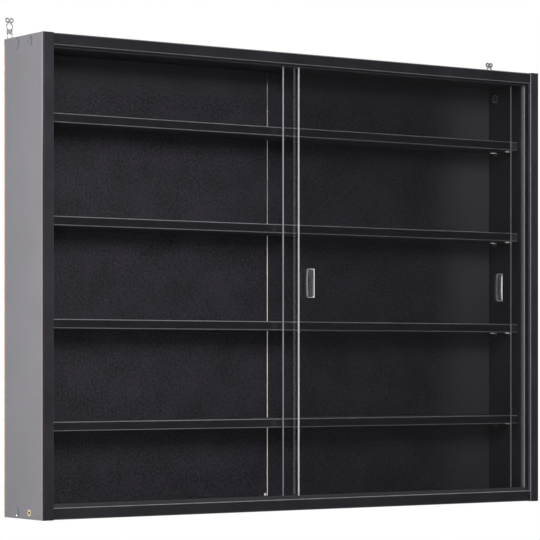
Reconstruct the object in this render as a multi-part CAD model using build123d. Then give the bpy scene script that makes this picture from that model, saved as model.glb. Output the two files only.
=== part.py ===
from build123d import *
import os

os.makedirs("parts", exist_ok=True)

# Wall-hung display cabinet, sizes in millimetres.
# X runs across the front, Y from the front to the wall, Z up.
# The origin lies under the middle of the cabinet, at the height of the side panels' lower ends.

# Carcass boards
width = 800.0
height = 600.0
depth = 98.0
board = 15.0
end_inset = 0.5
band = 2.0
band_radius = 1.4

# Back, in two halves let into a rebate from behind
back_thickness = 3.0
back_recess = 2.2
back_edge_clearance = 0.4
back_split_gap = 1.2
nail_radius = 0.7
nail_length = 14.0
nail_head_radius = 1.6
nail_head_height = 0.5
nail_hole_clearance = 0.05
nails_along_half = 3
nails_up_side = 4
nail_row_margin = 40.0

# Shelves
shelf_count = 4
shelf_thickness = 12.0
shelf_pitch = 128.0
shelf_group_rise = 6.5
shelf_setback = 28.0
shelf_side_gap = 1.0
shelf_back_gap = 1.0

# Plug-in shelf supports
pin_radius = 2.5
pin_length = 8.0
pin_hole_clearance = 0.05
pin_hole_depth = 9.0
pin_front_setback = 18.5
pin_spacing = 32.0
pin_plate = 1.2
pin_plate_width = 8.0
pin_plate_height = 5.6
pin_tab_length = 9.0
pin_corner_radius = 2.0

# Sliding glass and its double channels
glass = 3.0
glass_side_clearance = 0.3
glass_bottom_clearance = 0.3
glass_lift = 5.5
glass_arris = 0.3
door_overlap = 12.0
door_stop_clearance = 0.3
left_door_standoff = 1.3
right_door_travelled = 21.6
track_setback = 8.2
track_wall = 1.5
track_divider = 2.8
track_base = 1.2
top_lip = 2.4
bottom_lip = 3.8
bottom_groove = 3.0
top_groove = 8.0

# Finger pulls stuck on the glass
pull_height = 38.0
pull_width = 11.5
pull_depth = 2.6
pull_floor = 0.8
pull_grip_wall = 2.4
pull_thin_wall = 0.9
pull_end_wall = 1.3
pull_bow = 0.8
pull_corner_radius = 2.2
pull_drop = 1.0
left_pull_inset = 18.4
right_pull_inset = 22.0

# Screws that draw the carcass together, and the caps stuck over them
screw_length = 50.0
screw_head_radius = 4.5
screw_head_height = 2.6
screw_shank_radius = 3.5
screw_shank_length = 12.0
screw_core_radius = 2.5
screw_hex = 4.0
screw_hex_depth = 3.2
screw_hole_clearance = 0.05
screw_first_setback = 35.5
screw_spacing = 33.0
cap_radius = 7.0
cap_thickness = 0.4

# Wall hangers, each bolted through the back edge of a side panel into a cross nut
hanger_thickness = 1.5
hanger_width = 8.6
hanger_bolt_drop = 30.6
hanger_slot_radius = 2.8
hanger_slot_length = 15.0
hanger_tail = 6.5
hanger_hole_rise = 4.0
hanger_hole_radius = 3.1
hanger_eye_rise = 16.0
hanger_eye_radius = 3.6
hanger_head_radius = 5.0
hanger_notch_width = 2.4
hanger_notch_rise = 4.6
hanger_ear_rise = 8.0
hanger_ear_spread = 3.0
hanger_ear_radius = 3.3
hanger_ear_hole_radius = 1.3
hanger_neck_width = 7.2
left_hanger_lift = 0.5
right_hanger_lift = -3.5
bolt_radius = 2.5
bolt_length = 35.0
bolt_hole_clearance = 0.25
wall_beside_bolt = 0.75
bolt_end_room = 2.0
bolt_head_radius = 4.75
bolt_head_height = 2.8
bolt_head_rounding = 1.5
bolt_hex = 3.0
bolt_hex_depth = 1.6
nut_setback = 77.7
nut_radius = 6.0
nut_length = 11.0
nut_hole_clearance = 0.1
nut_hole_room = 0.5
nut_flange_radius = 6.9
nut_flange_height = 1.4
nut_slot_width = 1.6
nut_slot_depth = 1.0
nut_slot_angle = 40.0

# Places worked out from the sizes
behind_boards = hanger_thickness + bolt_head_height
y_front = -(depth + behind_boards) / 2
y_rear = y_front + depth
x_outer = width / 2
x_inner = x_outer - board
x_side_middle = x_outer - board / 2
z_floor = end_inset + board
z_ceiling = height - end_inset - board

y_back_rear = y_rear - back_recess
y_back_front = y_back_rear - back_thickness
rebate_reach = board / 2 - bolt_radius - bolt_hole_clearance - wall_beside_bolt
back_reach = rebate_reach - back_edge_clearance

y_shelf_front = y_front + shelf_setback
y_shelf_rear = y_back_front - shelf_back_gap
x_shelf_end = x_inner - shelf_side_gap
y_pins = [y_shelf_front + pin_front_setback + i * pin_spacing for i in range(2)]

channel = glass + 2 * glass_side_clearance
track_width = 2 * track_wall + 2 * channel + track_divider
y_track = y_front + track_setback
y_channel_front = y_track + track_wall
y_channel_rear = y_channel_front + channel + track_divider
z_glass_low = z_floor - bottom_groove + track_base + glass_bottom_clearance
z_glass_high = z_ceiling + top_groove - track_base - glass_lift
door_width = (2 * (x_inner - door_stop_clearance) + door_overlap) / 2
x_left_door = x_inner - left_door_standoff - door_width
x_right_door = x_inner - door_stop_clearance - right_door_travelled - door_width

y_screws = [y_front + screw_first_setback + i * screw_spacing for i in range(2)]
z_screws = [end_inset + board / 2, height - end_inset - board / 2]
z_bolt = height - hanger_bolt_drop
y_nut = y_front + nut_setback


def block(low, high):
    """Box between two corners."""
    size = [b - a for a, b in zip(low, high)]
    return Pos(*low) * Box(*size, align=(Align.MIN, Align.MIN, Align.MIN))


def rod(radius, start, direction, length):
    """Cylinder from a start point along a direction."""
    lying = Plane(origin=start, z_dir=direction)
    return lying * Cylinder(radius, length, align=(Align.CENTER, Align.CENTER, Align.MIN))


def hex_socket(across_flats, depth_in, mouth, inward):
    """Hexagonal recess cut from a screw head, from its mouth inwards."""
    lying = Plane(origin=mouth, z_dir=inward)
    return extrude(lying * RegularPolygon(across_flats / 2, 6, major_radius=False), depth_in)


def rounded_band(low, high, along):
    """Edge band with its two long outer arrises rounded."""
    strip = block(low, high)
    outer = strip.edges().filter_by(along).group_by(Axis.Y)[0]
    return fillet(outer, min(band_radius, band * 0.9))


def mirrored(shape):
    """The same piece on the other side of the cabinet."""
    return mirror(shape, about=Plane.YZ)


def shelf_middle(i):
    """Height of the middle of a shelf, counted from the lowest."""
    return height / 2 + shelf_group_rise + (i - (shelf_count - 1) / 2) * shelf_pitch


def shelf_underside(i):
    return shelf_middle(i) - shelf_thickness / 2


def nail_places():
    """Nail centres on the rear face of the back, as x and z."""
    x_edge = x_inner + back_reach / 2
    z_low = z_floor - back_reach / 2
    z_high = z_ceiling + back_reach / 2
    x_first = back_split_gap / 2 + nail_row_margin
    x_step = (x_inner - nail_row_margin - x_first) / max(nails_along_half - 1, 1)
    z_first = z_floor + nail_row_margin
    z_step = (z_ceiling - nail_row_margin - z_first) / max(nails_up_side - 1, 1)
    half = [(x_first + i * x_step, z) for i in range(nails_along_half) for z in (z_low, z_high)]
    half += [(x_edge, z_first + i * z_step) for i in range(nails_up_side)]
    return half + [(-x, z) for x, z in half]


def nail_bores():
    """Clearance holes for the nails, through the back and into the boards."""
    radius = nail_radius + nail_hole_clearance
    reach = nail_length + nail_hole_clearance
    return [rod(radius, (x, y_back_rear, z), (0, -1, 0), reach) for x, z in nail_places()]


def screw_bores():
    """Stepped holes for the right-hand carcass screws, from the outer face inwards."""
    bores = []
    for y in y_screws:
        for z in z_screws:
            spot = (x_outer, y, z)
            for radius, length in (
                (screw_head_radius, screw_head_height),
                (screw_shank_radius, screw_shank_length),
                (screw_core_radius, screw_length),
            ):
                fit = screw_hole_clearance
                bores.append(rod(radius + fit, spot, (-1, 0, 0), length + fit))
    return bores


def side_panel():
    """Right-hand side panel without its holes for the hanger."""
    panel = block((x_inner, y_front + band, 0), (x_outer, y_rear, height))
    rebate_low = (x_inner, y_back_front, z_floor - rebate_reach)
    rebate_high = (x_inner + rebate_reach, y_rear, z_ceiling + rebate_reach)
    panel -= block(rebate_low, rebate_high)
    for bore in screw_bores():
        panel -= bore
    for i in range(shelf_count):
        for y in y_pins:
            mouth = (x_inner, y, shelf_underside(i) - pin_plate_height / 2)
            panel -= rod(pin_radius + pin_hole_clearance, mouth, (1, 0, 0), pin_hole_depth)
    for bore in nail_bores():
        panel -= bore
    nut_room = nut_length + nut_hole_room
    panel -= rod(nut_radius + nut_hole_clearance, (x_inner, y_nut, z_bolt), (1, 0, 0), nut_room)
    drilled = bolt_length + bolt_end_room
    bolt_mouth = (x_side_middle, y_rear, z_bolt)
    return panel - rod(bolt_radius + bolt_hole_clearance, bolt_mouth, (0, -1, 0), drilled)


def carcass_board(z_low, z_high, rebate_z, groove):
    """Top or bottom board, with its rebate for the back and its groove for the channel."""
    plank = block((-x_inner, y_front + band, z_low), (x_inner, y_rear, z_high))
    plank -= block((-x_inner, y_back_front, rebate_z[0]), (x_inner, y_rear, rebate_z[1]))
    plank -= block((-x_inner, y_track, groove[0]), (x_inner, y_track + track_width, groove[1]))
    for bore in screw_bores():
        plank -= bore
        plank -= mirrored(bore)
    for bore in nail_bores():
        plank -= bore
    return plank


def top_panel():
    rebate_z = (z_ceiling, z_ceiling + rebate_reach)
    groove = (z_ceiling, z_ceiling + top_groove)
    return carcass_board(z_ceiling, z_ceiling + board, rebate_z, groove)


def bottom_panel():
    rebate_z = (z_floor - rebate_reach, z_floor)
    groove = (z_floor - bottom_groove, z_floor)
    return carcass_board(z_floor - board, z_floor, rebate_z, groove)


def side_band():
    low = (x_inner, y_front, 0)
    return rounded_band(low, (x_outer, y_front + band, height), Axis.Z)


def cross_band(z_low):
    low = (-x_inner, y_front, z_low)
    return rounded_band(low, (x_inner, y_front + band, z_low + board), Axis.X)


def back_half():
    """Right half of the back, with its nail holes."""
    low = (back_split_gap / 2, y_back_front, z_floor - back_reach)
    high = (x_inner + back_reach, y_back_rear, z_ceiling + back_reach)
    sheet = block(low, high)
    for bore in nail_bores():
        sheet -= bore
    return sheet


def back_nails():
    nails = []
    for x, z in nail_places():
        seat = (x, y_back_rear, z)
        shank = rod(nail_radius, seat, (0, -1, 0), nail_length)
        nails.append(shank + rod(nail_head_radius, seat, (0, 1, 0), nail_head_height))
    return nails


def shelf_board(i):
    z = shelf_underside(i)
    low = (-x_shelf_end, y_shelf_front + band, z)
    return block(low, (x_shelf_end, y_shelf_rear, z + shelf_thickness))


def shelf_band(i):
    z = shelf_underside(i)
    low = (-x_shelf_end, y_shelf_front, z)
    return rounded_band(low, (x_shelf_end, y_shelf_front + band, z + shelf_thickness), Axis.X)


def shelf_support(y, z_seat):
    """Angle support in the right side panel: peg, upright plate and tab under the shelf."""
    y_low = y - pin_plate_width / 2
    y_high = y + pin_plate_width / 2
    upright = block((x_inner - pin_plate, y_low, z_seat - pin_plate_height), (x_inner, y_high, z_seat))
    tab = block((x_inner - pin_tab_length, y_low, z_seat - pin_plate), (x_inner, y_high, z_seat))
    tab = fillet(tab.edges().filter_by(Axis.Z).group_by(Axis.X)[0], pin_corner_radius)
    peg = rod(pin_radius, (x_inner, y, z_seat - pin_plate_height / 2), (1, 0, 0), pin_length)
    return upright + tab + peg


def shelf_supports(i):
    right = [shelf_support(y, shelf_underside(i)) for y in y_pins]
    return right + [mirrored(support) for support in right]


def channel_rail(z_low, z_high, z_open_low, z_open_high):
    """Double channel: one strip with a groove for each pane."""
    rail = block((-x_inner, y_track, z_low), (x_inner, y_track + track_width, z_high))
    for y in (y_channel_front, y_channel_rear):
        rail -= block((-x_inner, y, z_open_low), (x_inner, y + channel, z_open_high))
    return rail


def bottom_track():
    z_low = z_floor - bottom_groove
    z_high = z_floor + bottom_lip
    return channel_rail(z_low, z_high, z_low + track_base, z_high)


def top_track():
    z_low = z_ceiling - top_lip
    z_high = z_ceiling + top_groove
    return channel_rail(z_low, z_high, z_low, z_high - track_base)


def pane(x_low, y_channel):
    """Sliding pane in its channel, with its arrises ground off."""
    y_low = y_channel + glass_side_clearance
    sheet = block((x_low, y_low, z_glass_low), (x_low + door_width, y_low + glass, z_glass_high))
    return chamfer(sheet.edges(), glass_arris)


def finger_pull(x_middle, y_face):
    """Dished plate with a thick grip wall on its right and a bowed thin wall on its left."""
    z_middle = (z_glass_low + z_glass_high) / 2 - pull_drop
    half_w = pull_width / 2
    half_h = pull_height / 2
    face = Plane(origin=(x_middle, y_face, z_middle), x_dir=(1, 0, 0), z_dir=(0, -1, 0))
    outline = Polyline((-half_w, -half_h), (half_w, -half_h), (half_w, half_h), (-half_w, half_h))
    bow = ThreePointArc((-half_w, half_h), (-half_w - pull_bow, 0), (-half_w, -half_h))
    shape = make_face(outline + bow)
    shape = fillet(shape.vertices(), pull_corner_radius)
    body = extrude(face * shape, pull_depth)
    dish_width = pull_width - pull_grip_wall - pull_thin_wall
    dish_height = pull_height - 2 * pull_end_wall
    dish_middle = (pull_thin_wall - pull_grip_wall) / 2
    dish = Pos(dish_middle, 0) * Rectangle(dish_width, dish_height)
    dish = fillet(dish.vertices(), pull_corner_radius - pull_thin_wall)
    return body - extrude(face.offset(pull_floor) * dish, pull_depth)


def carcass_screw(y, z):
    """Screw through the right side panel into the end of the top or bottom board."""
    spot = (x_outer, y, z)
    inward = (-1, 0, 0)
    screw = rod(screw_head_radius, spot, inward, screw_head_height)
    screw += rod(screw_shank_radius, spot, inward, screw_shank_length)
    screw += rod(screw_core_radius, spot, inward, screw_length)
    return screw - hex_socket(screw_hex, screw_hex_depth, spot, inward)


def carcass_screws():
    return [carcass_screw(y, z) for y in y_screws for z in z_screws]


def cover_cap(side, y, z):
    """Thin round cap stuck over a screw, on the left side (-1) or the right side (1)."""
    return rod(cap_radius, (side * x_outer, y, z), (side, 0, 0), cap_thickness)


def left_caps():
    """Caps of the left side panel, where the lower front screw has lost its cap."""
    places = [(y, z) for y in y_screws for z in z_screws]
    places.remove((y_screws[0], z_screws[0]))
    return [cover_cap(-1, y, z) for y, z in places]


def right_caps():
    return [cover_cap(1, y, z) for y in y_screws for z in z_screws]


def hanger_plate(x_middle, lift):
    """Flat strap with an eye for the wall screw and a slot for its bolt."""
    z_end = z_bolt - hanger_slot_length / 2 - hanger_tail + lift
    z_eye = height + hanger_eye_rise + lift
    z_ears = z_eye + hanger_ear_rise
    strap_length = z_eye - z_end
    strap = Pos(0, z_end + strap_length / 2) * Rectangle(hanger_width, strap_length)
    strap = fillet(strap.vertices().group_by(Axis.Y)[0], hanger_width * 0.45)
    outline = strap + Pos(0, z_eye) * Circle(hanger_head_radius)
    outline += Pos(0, z_eye + hanger_ear_rise / 2) * Rectangle(hanger_neck_width, hanger_ear_rise)
    for side in (-1, 1):
        outline += Pos(side * hanger_ear_spread, z_ears) * Circle(hanger_ear_radius)
    slot_middle = z_bolt + lift
    outline -= Pos(0, slot_middle) * Rot(0, 0, 90) * SlotOverall(
        hanger_slot_length, 2 * hanger_slot_radius
    )
    outline -= Pos(0, height + hanger_hole_rise + lift) * Circle(hanger_hole_radius)
    outline -= Pos(0, z_eye) * Circle(hanger_eye_radius)
    outline -= Pos(0, z_eye + hanger_notch_rise / 2) * Rectangle(hanger_notch_width, hanger_notch_rise)
    for side in (-1, 1):
        outline -= Pos(side * hanger_ear_spread, z_ears) * Circle(hanger_ear_hole_radius)
    lying = Plane(origin=(x_middle, y_rear, 0), x_dir=(1, 0, 0), z_dir=(0, -1, 0))
    return extrude(lying * outline, -hanger_thickness)


def hanger_bolt(x_middle):
    """Button-head bolt through the strap, along the middle of the side panel."""
    seat = (x_middle, y_rear + hanger_thickness, z_bolt)
    head = rod(bolt_head_radius, seat, (0, 1, 0), bolt_head_height)
    head = fillet(head.edges().group_by(Axis.Y)[-1], bolt_head_rounding)
    mouth = (x_middle, y_rear + behind_boards, z_bolt)
    head -= hex_socket(bolt_hex, bolt_hex_depth, mouth, (0, -1, 0))
    return head + rod(bolt_radius, seat, (0, -1, 0), bolt_length)


def cross_nut():
    """Flanged cross nut in the right side panel, with a screwdriver slot in its flange."""
    nut = rod(nut_radius, (x_inner, y_nut, z_bolt), (1, 0, 0), nut_length)
    nut += rod(nut_flange_radius, (x_inner, y_nut, z_bolt), (-1, 0, 0), nut_flange_height)
    tapped = rod(
        bolt_radius + nut_hole_clearance,
        (x_side_middle, y_nut - 2 * nut_radius, z_bolt),
        (0, 1, 0),
        4 * nut_radius,
    )
    slot = Box(2 * nut_slot_depth, 2 * nut_flange_radius, nut_slot_width)
    slot = Pos(x_inner - nut_flange_height, y_nut, z_bolt) * Rot(nut_slot_angle, 0, 0) * slot
    return nut - tapped - slot


def write(node, shape):
    """One STEP file per sub-part; a list becomes one node of separate solids."""
    if isinstance(shape, list):
        shape = Compound(children=[solid for piece in shape for solid in piece.solids()])
    shape.label = node
    export_step(shape, f"parts/{node}.step")


def make():
    """Every sub-part of the cabinet by name."""
    side = side_panel()
    band_side = side_band()
    back = back_half()
    screws = carcass_screws()
    nut = cross_nut()
    y_front_pane = y_channel_front + glass_side_clearance
    y_rear_pane = y_channel_rear + glass_side_clearance
    x_left_pull = x_left_door + left_pull_inset
    x_right_pull = x_right_door + door_width - right_pull_inset
    pieces = {
        "side_panel_right": side,
        "side_panel_left": mirrored(side),
        "edge_band_right": band_side,
        "edge_band_left": mirrored(band_side),
        "top_panel": top_panel(),
        "bottom_panel": bottom_panel(),
        "edge_band_top": cross_band(z_ceiling),
        "edge_band_bottom": cross_band(z_floor - board),
        "back_panel_right": back,
        "back_panel_left": mirrored(back),
        "back_nails": back_nails(),
        "top_track": top_track(),
        "bottom_track": bottom_track(),
        "door_glass_left": pane(x_left_door, y_channel_front),
        "door_glass_right": pane(x_right_door, y_channel_rear),
        "finger_pull_left": finger_pull(x_left_pull, y_front_pane),
        "finger_pull_right": finger_pull(x_right_pull, y_rear_pane),
        "carcass_screws_right": screws,
        "carcass_screws_left": [mirrored(screw) for screw in screws],
        "cover_caps_right": right_caps(),
        "cover_caps_left": left_caps(),
        "hanger_plate_right": hanger_plate(x_side_middle, right_hanger_lift),
        "hanger_plate_left": hanger_plate(-x_side_middle, left_hanger_lift),
        "hanger_bolt_right": hanger_bolt(x_side_middle),
        "hanger_bolt_left": hanger_bolt(-x_side_middle),
        "hanger_nut_right": nut,
        "hanger_nut_left": mirrored(nut),
    }
    for i in range(shelf_count):
        pieces[f"shelf_{i + 1}"] = shelf_board(i)
        pieces[f"shelf_{i + 1}_edge_band"] = shelf_band(i)
        pieces[f"shelf_{i + 1}_supports"] = shelf_supports(i)
    return pieces


for node_name, node_shape in make().items():
    write(node_name, node_shape)
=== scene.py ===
import math

import bmesh
import bpy
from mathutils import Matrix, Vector


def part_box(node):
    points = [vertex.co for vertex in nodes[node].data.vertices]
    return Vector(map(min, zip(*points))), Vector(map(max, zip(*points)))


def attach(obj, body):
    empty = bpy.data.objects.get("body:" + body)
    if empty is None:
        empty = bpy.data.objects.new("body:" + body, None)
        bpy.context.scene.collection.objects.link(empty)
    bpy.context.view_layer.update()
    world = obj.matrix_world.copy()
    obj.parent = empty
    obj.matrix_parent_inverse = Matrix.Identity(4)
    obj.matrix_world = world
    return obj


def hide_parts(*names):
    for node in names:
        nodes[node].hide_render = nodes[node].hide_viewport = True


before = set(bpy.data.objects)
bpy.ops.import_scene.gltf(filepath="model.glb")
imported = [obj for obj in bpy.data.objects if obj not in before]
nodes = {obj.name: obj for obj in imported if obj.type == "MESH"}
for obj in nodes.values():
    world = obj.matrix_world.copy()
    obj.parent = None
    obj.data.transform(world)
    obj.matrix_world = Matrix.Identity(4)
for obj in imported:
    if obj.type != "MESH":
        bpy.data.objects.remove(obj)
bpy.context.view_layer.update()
MM = 0.001
QUARTER = math.radians(90)
HALF = math.radians(180)
SIDES = {"left": -1, "right": 1}

# Photograph's viewpoint, worked out from the cabinet's edges: level camera, turned to the right
CAMERA_PLACE = Vector((-1988.0, -2791.15, 192.3)) * MM
CAMERA_TURN = math.radians(-35.12)
SENSOR_WIDTH = 36.0
FOCAL_LENGTH = 171.7
PICTURE_SHIFT_UP = 0.174
NEAREST_SEEN = 0.05
FARTHEST_SEEN = 60.0

# Places of the cabinet's own faces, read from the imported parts
side_low, side_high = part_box("side_panel_right")
band_low, band_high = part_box("edge_band_right")
back_low, back_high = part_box("back_panel_right")
X_INNER = side_low.x
X_OUTER = side_high.x
Y_BAND = band_high.y
Y_REAR = side_high.y
HEIGHT = side_high.z
BOARD = X_OUTER - X_INNER
Z_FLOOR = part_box("bottom_panel")[1].z
Z_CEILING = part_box("top_panel")[0].z

# The left upright's edging is trimmed flush above Z_FLUSH, and its joint stands open below Z_OPEN.
Z_FLUSH = HEIGHT * 0.83
Z_OPEN = HEIGHT * 0.74
# Part of its normal along an axis below which an edging's face has a flush flank's colour
FLUSH = -0.97

# Roughness of raw wood fibre, and the reach within which points of a mesh are welded
RAW = 0.85
WELD_REACH = 0.005 * MM

# Kinds of node used throughout; RANGE takes a value, the range it is in and the range it goes to
COORDINATES = "ShaderNodeTexCoord"
SPLIT = "ShaderNodeSeparateXYZ"
MATH = "ShaderNodeMath"
MIX = "ShaderNodeMix"
RANGE = "ShaderNodeMapRange"
NOISE = "ShaderNodeTexNoise"
RAMP = "ShaderNodeValToRGB"
BUMP = "ShaderNodeBump"
MAPPING = "ShaderNodeMapping"
SHIFT = "ShaderNodeCombineXYZ"
PLACE = "GeometryNodeTransform"
JOIN = "GeometryNodeJoinGeometry"
WELD = "GeometryNodeMergeByDistance"


def hex_colour(text):
    """Linear colour from an sRGB hex value such as 2A292E."""
    parts = [int(text[i:i + 2], 16) / 255 for i in (0, 2, 4)]
    linear = [p / 12.92 if p <= 0.04045 else ((p + 0.055) / 1.055) ** 2.4 for p in parts]
    return (*linear, 1.0)


def per_mm(size_mm):
    """Texture scale, in object space in metres, at which one feature is size_mm across."""
    return 1.0 / (size_mm * MM)


def add(tree, kind, links=(), **settings):
    """One node with its settings. links feeds its inputs, in order or by key, each from a value, an
    output, another node, which stands for its first live output, or a list of these."""
    made = tree.nodes.new(kind)
    for name, value in settings.items():
        setattr(made, name, value)
    for key, value in links.items() if isinstance(links, dict) else enumerate(links):
        for feed in value if isinstance(value, list) else [value]:
            if isinstance(feed, bpy.types.Node):
                feed = next(output for output in feed.outputs if output.enabled)
            if isinstance(feed, bpy.types.NodeSocket):
                tree.links.new(feed, made.inputs[key])
            else:
                made.inputs[key].default_value = feed
    return made


def set_stops(ramp, *stops):
    """Gives a colour ramp its stops, each a position and an sRGB hex value; returns the ramp."""
    elements = ramp.color_ramp.elements
    while len(elements) < len(stops):
        elements.new(1.0)
    for element, (position, text) in zip(elements, stops):
        element.position = position
        element.color = hex_colour(text)
    return ramp


def blank_material(name):
    material = bpy.data.materials.new(name)
    material.use_nodes = True
    material.node_tree.nodes.clear()
    return material, material.node_tree


def surface(tree, **values):
    """Principled surface with its output; keys are socket names with underscores for blanks."""
    links = {key.replace("_", " "): value for key, value in values.items()}
    shader = add(tree, "ShaderNodeBsdfPrincipled", links)
    add(tree, "ShaderNodeOutputMaterial", {"Surface": shader})


def distance_from(tree, value, middle):
    """How far a value lies from a middle, to either side."""
    apart = add(tree, MATH, [value, middle], operation="SUBTRACT")
    return add(tree, MATH, [apart], operation="ABSOLUTE")


def near_spot(tree, spot, middle, reach):
    """1 within reach of a point on the cabinet, else 0."""
    away = add(tree, "ShaderNodeVectorMath", {0: spot, 1: middle}, operation="DISTANCE")
    return add(tree, MATH, [away, reach], operation="LESS_THAN")


def dress(material, *names):
    for name in names:
        slots = nodes[name].data.materials
        slots.clear()
        slots.append(material)


# Particle board faced with black melamine paper, pressed against a finely grained plate: an even
# black with a soft sheen. Where it is sawn or chipped, the tan core of glued chips shows.
def faced_board(name, axis, low, high, upright):
    """axis is the board's thin axis; faces lie at low and high on it; an upright board is a side."""
    paper, dust_rough = 0.12 * MM, 0.95
    material, tree = blank_material(name)
    spot = add(tree, COORDINATES).outputs["Object"]
    apart = add(tree, SPLIT, {0: spot})
    x, y, z = apart.outputs
    away = distance_from(tree, apart.outputs[axis], (low + high) / 2)
    faced = add(tree, MATH, [away, (high - low) / 2 - paper], operation="GREATER_THAN")

    cloud = add(tree, NOISE, {"Vector": spot, "Scale": per_mm(60), "Detail": 3.0})
    black = set_stops(add(tree, RAMP, {"Fac": cloud}), (0.3, "211F24"), (0.7, "2A282E"))
    if upright:
        # Ends are covered too.
        rise = distance_from(tree, z, HEIGHT / 2)
        at_end = add(tree, MATH, [rise, HEIGHT / 2 - paper], operation="GREATER_THAN")
        faced = add(tree, MATH, [faced, at_end], operation="MAXIMUM")
        # The rear arris has chipped off below the top corner, and the core shows darker there.
        tooth_depth, chip_width, top_corner, stain = 1.2 * MM, 1.9 * MM, 7 * MM, 0.6
        tooth = add(tree, NOISE, {"Vector": spot, "Scale": per_mm(5), "Detail": 3.0})
        depth = add(tree, MATH, [tooth, tooth_depth, y], operation="MULTIPLY_ADD")
        chipped = add(tree, MATH, [depth, Y_REAR - chip_width], operation="GREATER_THAN")
        below = add(tree, MATH, [z, HEIGHT - top_corner], operation="LESS_THAN")
        gone = add(tree, MATH, [chipped, below], operation="MULTIPLY")
        whole = add(tree, MATH, [1.0, gone], operation="SUBTRACT")
        faced = add(tree, MATH, [faced, whole], operation="MULTIPLY")
        ahead = add(tree, MATH, [y, Y_REAR - paper], operation="LESS_THAN")
        stained = add(tree, MATH, [ahead, stain], operation="MULTIPLY")
        # The arris beside the edging is drawn paler.
        pale_arris = add(tree, RANGE, [y, Y_BAND + 3 * MM, Y_BAND + 1 * MM])
        # Below the upper fifth, dark glue and bare core show in the joint on the left outer face.
        joint_width = 0.9 * MM
        at_joint = add(tree, MATH, [y, Y_BAND + joint_width], operation="LESS_THAN")
        on_left = add(tree, MATH, [x, -(X_INNER + X_OUTER) / 2], operation="LESS_THAN")
        lower = add(tree, RANGE, [z, Z_FLUSH, Z_OPEN])
        joint = add(tree, MATH, [at_joint, on_left], operation="MULTIPLY")
        dull = add(tree, MATH, [joint, lower], operation="MULTIPLY")
        top_arris = add(tree, MATH, [z, HEIGHT - 1.0 * MM], operation="GREATER_THAN")
        for mask, text in ((pale_arris, "5A585F"), (dull, "3C2A1F"), (top_arris, "31241D")):
            black = add(tree, MIX, {0: mask, 6: black, 7: hex_colour(text)}, data_type="RGBA")
    else:
        stained = 0.0
        # Dust dulls the top of the cabinet.
        dull = add(tree, MATH, [z, Z_CEILING + BOARD / 2], operation="GREATER_THAN")

    cells = {"Vector": spot, "Scale": per_mm(2.2), "Randomness": 1.0}
    chips = add(tree, "ShaderNodeTexVoronoi", cells)
    core = add(tree, RAMP, {"Fac": chips.outputs["Color"]})
    set_stops(core, (0.0, "8A6846"), (1.0, "BE9D73"))
    core = add(tree, MIX, {0: stained, 6: core, 7: hex_colour("2E1F16")}, data_type="RGBA")
    # The plate's grain is about 0.4 mm; it is drawn at 1.2 mm, the finest that shows.
    grain = add(tree, NOISE, {"Vector": spot, "Scale": per_mm(1.2), "Detail": 2.0})
    sheen = add(tree, RANGE, {"Value": grain, "To Min": 0.4, "To Max": 0.52})
    dulled = add(tree, MIX, {0: dull, 2: sheen, 3: dust_rough}, data_type="FLOAT")
    height = add(tree, MIX, {0: faced, 2: chips.outputs["Distance"], 3: grain}, data_type="FLOAT")
    surface(
        tree,
        Base_Color=add(tree, MIX, {0: faced, 6: core, 7: black}, data_type="RGBA"),
        Roughness=add(tree, MIX, {0: faced, 2: RAW, 3: dulled}, data_type="FLOAT"),
        Normal=add(tree, BUMP, {"Height": height, "Strength": 0.18, "Distance": 0.1 * MM}),
    )
    return material
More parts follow.
